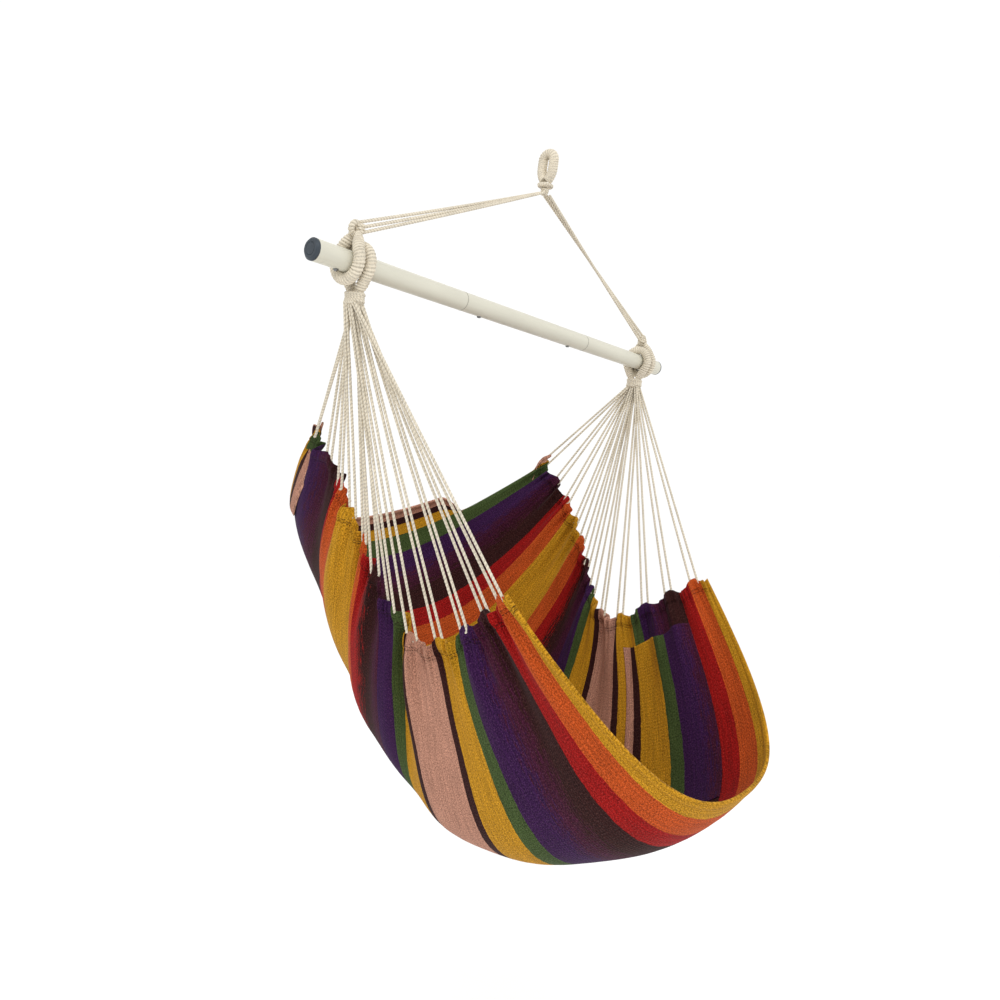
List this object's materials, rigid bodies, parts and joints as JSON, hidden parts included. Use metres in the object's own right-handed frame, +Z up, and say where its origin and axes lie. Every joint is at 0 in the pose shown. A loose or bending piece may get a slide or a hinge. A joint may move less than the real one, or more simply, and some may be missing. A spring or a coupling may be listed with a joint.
{
  "type": "hanging hammock chair",
  "caption": "Hammock chair: a striped cotton sling with a side pocket, hung by two fans of cord from a metal spreader bar in three sections, under one served hanging loop.",
  "frame": {"origin": "the point inside the top of the hanging loop that bears on the hook", "axes": "+X along the spreader bar, -Y towards the sitter's knees, +Z up, the way the hook pulls"},
  "size_m": [1, 0.9684, 1.2342],
  "materials": {
    "served_rope": "twine-served cotton rope",
    "laid_cord": "three-strand laid cotton cord",
    "painted_tube": "satin cream powder coat on steel tube",
    "cap_plastic": "moulded dark blue-grey",
    "spring_steel": "plain steel",
    "striped_cotton": "coarse heathered cotton in stripes",
    "hem_cotton": "rolled cotton hem"
  },
  "bodies": {
    "hanging_loop": {"hanging_loop": "served_rope"},
    "loop_binding": {"loop_binding": "served_rope"},
    "rope_throat": {"rope_throat": "laid_cord"},
    "suspension": {"suspension_cord_left_1": "laid_cord", "suspension_cord_left_2": "laid_cord", "suspension_cord_left_3": "laid_cord", "suspension_cord_right_1": "laid_cord", "suspension_cord_right_2": "laid_cord", "suspension_cord_right_3": "laid_cord", "suspension_loop_left": "served_rope", "suspension_loop_right": "served_rope", "suspension_knot_left": "laid_cord", "suspension_knot_right": "laid_cord"},
    "bar": {"bar_left": "painted_tube", "bar_middle": "painted_tube", "bar_right": "painted_tube", "end_cap_left": "cap_plastic", "end_cap_right": "cap_plastic", "snap_spring_left": "spring_steel", "snap_spring_right": "spring_steel", "stop_pin_left": "spring_steel", "stop_pin_right": "spring_steel"},
    "snap_button_left": {"snap_button_left": "spring_steel"},
    "snap_button_right": {"snap_button_right": "spring_steel"},
    "sling": {"sling": "striped_cotton", "front_hem": "hem_cotton", "back_hem": "hem_cotton", "header_left": "striped_cotton", "header_right": "striped_cotton", "pocket": "striped_cotton", "fan_loop_left": "served_rope", "fan_loop_right": "served_rope", "fan_whipping_left": "served_rope", "fan_whipping_right": "served_rope", "fan_cord_left_01": "laid_cord", "fan_cord_left_02": "laid_cord", "fan_cord_left_03": "laid_cord", "fan_cord_left_04": "laid_cord", "fan_cord_left_05": "laid_cord", "fan_cord_left_06": "laid_cord", "fan_cord_left_07": "laid_cord", "fan_cord_left_08": "laid_cord", "fan_cord_left_09": "laid_cord", "fan_cord_left_10": "laid_cord", "fan_cord_left_11": "laid_cord", "fan_cord_left_12": "laid_cord", "fan_cord_right_01": "laid_cord", "fan_cord_right_02": "laid_cord", "fan_cord_right_03": "laid_cord", "fan_cord_right_04": "laid_cord", "fan_cord_right_05": "laid_cord", "fan_cord_right_06": "laid_cord", "fan_cord_right_07": "laid_cord", "fan_cord_right_08": "laid_cord", "fan_cord_right_09": "laid_cord", "fan_cord_right_10": "laid_cord", "fan_cord_right_11": "laid_cord", "fan_cord_right_12": "laid_cord"}
  },
  "joints": [
    {"name": "sway", "type": "hinge", "parent": "hanging_loop", "child": "loop_binding", "pos_m": [0, 0, -0.03921], "axis": [0, 1, 0], "range_deg": [-12, 12]},
    {"name": "twist", "type": "hinge", "parent": "loop_binding", "child": "rope_throat", "pos_m": [0, 0, -0.05236], "axis": [0, 0, 1], "range_deg": [-180, 180]},
    {"name": "swing", "type": "hinge", "parent": "rope_throat", "child": "suspension", "pos_m": [0, 0, -0.06001], "axis": [1, 0, 0], "range_deg": [-30, 30]},
    {"name": "bar_roll", "type": "hinge", "parent": "suspension", "child": "bar", "pos_m": [0, 0, -0.3], "axis": [1, 0, 0], "continuous": true},
    {"name": "sling_tilt", "type": "hinge", "parent": "suspension", "child": "sling", "pos_m": [0, 0, -0.3], "axis": [1, 0, 0], "range_deg": [-20, 20]},
    {"name": "press_left", "type": "slide", "parent": "bar", "child": "snap_button_left", "axis": [0, 0, 1], "range_m": [0, 0.0042], "stiffness_N_per_m": 1500, "springref_m": -0.002, "deforming": ["snap_spring_left"]},
    {"name": "press_right", "type": "slide", "parent": "bar", "child": "snap_button_right", "axis": [0, 0, 1], "range_m": [0, 0.0042], "stiffness_N_per_m": 1500, "springref_m": -0.002, "deforming": ["snap_spring_right"]}
  ]
}
